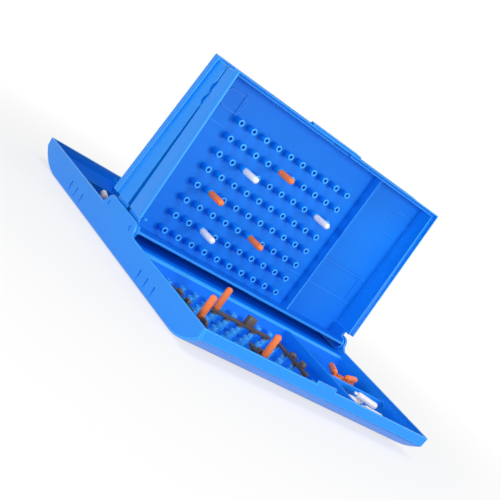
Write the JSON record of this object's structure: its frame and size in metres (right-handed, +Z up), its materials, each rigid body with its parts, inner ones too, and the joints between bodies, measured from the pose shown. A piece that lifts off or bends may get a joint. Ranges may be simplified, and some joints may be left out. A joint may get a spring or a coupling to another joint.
{
  "type": "travel fleet guessing game case",
  "caption": "Two-player fleet guessing game case with back-to-back hinged lids, drilled-stud grids, ships, marker pegs and peg stores.",
  "frame": {"origin": "middle of the base's underside, on the table", "axes": "+X along the trays, +Y from the near player to the far player, +Z up"},
  "size_m": [0.2024, 0.254, 0.1322],
  "materials": {
    "case": "satin",
    "orange_peg": "satin",
    "white_peg": "satin",
    "ship": "matte"
  },
  "bodies": {
    "base": {"base": "case", "far_store_orange_1": "orange_peg", "far_store_orange_2": "orange_peg", "far_store_orange_3": "orange_peg", "far_store_white_1": "white_peg", "far_store_white_2": "white_peg", "far_store_white_3": "white_peg", "far_store_white_4": "white_peg", "near_store_orange_1": "orange_peg", "near_store_orange_2": "orange_peg", "near_store_orange_3": "orange_peg", "near_store_orange_4": "orange_peg", "near_store_orange_5": "orange_peg", "near_store_orange_6": "orange_peg", "near_store_orange_7": "orange_peg", "near_store_orange_8": "orange_peg", "near_store_white_1": "white_peg", "near_store_white_2": "white_peg", "near_store_white_3": "white_peg", "near_store_white_4": "white_peg", "near_store_white_5": "white_peg", "near_store_white_6": "white_peg"},
    "near_lid": {"near_lid": "case"},
    "far_lid": {"far_lid": "case"},
    "far_battleship": {"far_battleship": "ship"},
    "far_carrier": {"far_carrier": "ship"},
    "far_cruiser": {"far_cruiser": "ship"},
    "far_destroyer": {"far_destroyer": "ship"},
    "far_hit_1": {"far_hit_1": "orange_peg"},
    "far_hit_2": {"far_hit_2": "orange_peg"},
    "far_submarine": {"far_submarine": "ship"},
    "far_target_orange_1": {"far_target_orange_1": "orange_peg"},
    "far_target_orange_2": {"far_target_orange_2": "orange_peg"},
    "far_target_white_1": {"far_target_white_1": "white_peg"},
    "far_target_white_2": {"far_target_white_2": "white_peg"},
    "near_battleship": {"near_battleship": "ship"},
    "near_carrier": {"near_carrier": "ship"},
    "near_cruiser": {"near_cruiser": "ship"},
    "near_destroyer": {"near_destroyer": "ship"},
    "near_hit_1": {"near_hit_1": "orange_peg"},
    "near_hit_2": {"near_hit_2": "orange_peg"},
    "near_hit_3": {"near_hit_3": "orange_peg"},
    "near_submarine": {"near_submarine": "ship"},
    "near_target_orange_1": {"near_target_orange_1": "orange_peg"},
    "near_target_orange_2": {"near_target_orange_2": "orange_peg"},
    "near_target_orange_3": {"near_target_orange_3": "orange_peg"},
    "near_target_white_1": {"near_target_white_1": "white_peg"},
    "near_target_white_2": {"near_target_white_2": "white_peg"},
    "near_target_white_3": {"near_target_white_3": "white_peg"}
  },
  "joints": [
    {"name": "near_lid_hinge", "type": "hinge", "parent": "base", "child": "near_lid", "pos_m": [0, -0.0172, 0.01975], "axis": [-1, 0, 0], "range_deg": [-93.18, 0]},
    {"name": "far_lid_hinge", "type": "hinge", "parent": "base", "child": "far_lid", "pos_m": [0, 0.0172, 0.01975], "axis": [1, 0, 0], "range_deg": [-93.18, 0]},
    {"name": "far_battleship_lift", "type": "slide", "parent": "base", "child": "far_battleship", "axis": [0, 0, 1], "range_m": [0, 0.02]},
    {"name": "far_carrier_lift", "type": "slide", "parent": "base", "child": "far_carrier", "axis": [0, 0, 1], "range_m": [0, 0.02]},
    {"name": "far_cruiser_lift", "type": "slide", "parent": "base", "child": "far_cruiser", "axis": [0, 0, 1], "range_m": [0, 0.02]},
    {"name": "far_destroyer_lift", "type": "slide", "parent": "base", "child": "far_destroyer", "axis": [0, 0, 1], "range_m": [0, 0.02]},
    {"name": "far_hit_1_pull", "type": "slide", "parent": "far_battleship", "child": "far_hit_1", "axis": [0, 0, 1], "range_m": [0, 0.02]},
    {"name": "far_hit_2_pull", "type": "slide", "parent": "far_carrier", "child": "far_hit_2", "axis": [0, 0, 1], "range_m": [0, 0.02]},
    {"name": "far_submarine_lift", "type": "slide", "parent": "base", "child": "far_submarine", "axis": [0, 0, 1], "range_m": [0, 0.02]},
    {"name": "far_target_orange_1_pull", "type": "slide", "parent": "far_lid", "child": "far_target_orange_1", "axis": [0, 0.9999, 0.014], "range_m": [0, 0.02]},
    {"name": "far_target_orange_2_pull", "type": "slide", "parent": "far_lid", "child": "far_target_orange_2", "axis": [0, 0.9999, 0.014], "range_m": [0, 0.02]},
    {"name": "far_target_white_1_pull", "type": "slide", "parent": "far_lid", "child": "far_target_white_1", "axis": [0, 0.9999, 0.014], "range_m": [0, 0.02]},
    {"name": "far_target_white_2_pull", "type": "slide", "parent": "far_lid", "child": "far_target_white_2", "axis": [0, 0.9999, 0.014], "range_m": [0, 0.02]},
    {"name": "near_battleship_lift", "type": "slide", "parent": "base", "child": "near_battleship", "axis": [0, 0, 1], "range_m": [0, 0.02]},
    {"name": "near_carrier_lift", "type": "slide", "parent": "base", "child": "near_carrier", "axis": [0, 0, 1], "range_m": [0, 0.02]},
    {"name": "near_cruiser_lift", "type": "slide", "parent": "base", "child": "near_cruiser", "axis": [0, 0, 1], "range_m": [0, 0.02]},
    {"name": "near_destroyer_lift", "type": "slide", "parent": "base", "child": "near_destroyer", "axis": [0, 0, 1], "range_m": [0, 0.02]},
    {"name": "near_hit_1_pull", "type": "slide", "parent": "near_submarine", "child": "near_hit_1", "axis": [0, 0, 1], "range_m": [0, 0.02]},
    {"name": "near_hit_2_pull", "type": "slide", "parent": "near_carrier", "child": "near_hit_2", "axis": [0, 0, 1], "range_m": [0, 0.02]},
    {"name": "near_hit_3_pull", "type": "slide", "parent": "near_destroyer", "child": "near_hit_3", "axis": [0, 0, 1], "range_m": [0, 0.02]},
    {"name": "near_submarine_lift", "type": "slide", "parent": "base", "child": "near_submarine", "axis": [0, 0, 1], "range_m": [0, 0.02]},
    {"name": "near_target_orange_1_pull", "type": "slide", "parent": "near_lid", "child": "near_target_orange_1", "axis": [0, -0.9999, 0.014], "range_m": [0, 0.02]},
    {"name": "near_target_orange_2_pull", "type": "slide", "parent": "near_lid", "child": "near_target_orange_2", "axis": [0, -0.9999, 0.014], "range_m": [0, 0.02]},
    {"name": "near_target_orange_3_pull", "type": "slide", "parent": "near_lid", "child": "near_target_orange_3", "axis": [0, -0.9999, 0.014], "range_m": [0, 0.02]},
    {"name": "near_target_white_1_pull", "type": "slide", "parent": "near_lid", "child": "near_target_white_1", "axis": [0, -0.9999, 0.014], "range_m": [0, 0.02]},
    {"name": "near_target_white_2_pull", "type": "slide", "parent": "near_lid", "child": "near_target_white_2", "axis": [0, -0.9999, 0.014], "range_m": [0, 0.02]},
    {"name": "near_target_white_3_pull", "type": "slide", "parent": "near_lid", "child": "near_target_white_3", "axis": [0, -0.9999, 0.014], "range_m": [0, 0.02]}
  ]
}
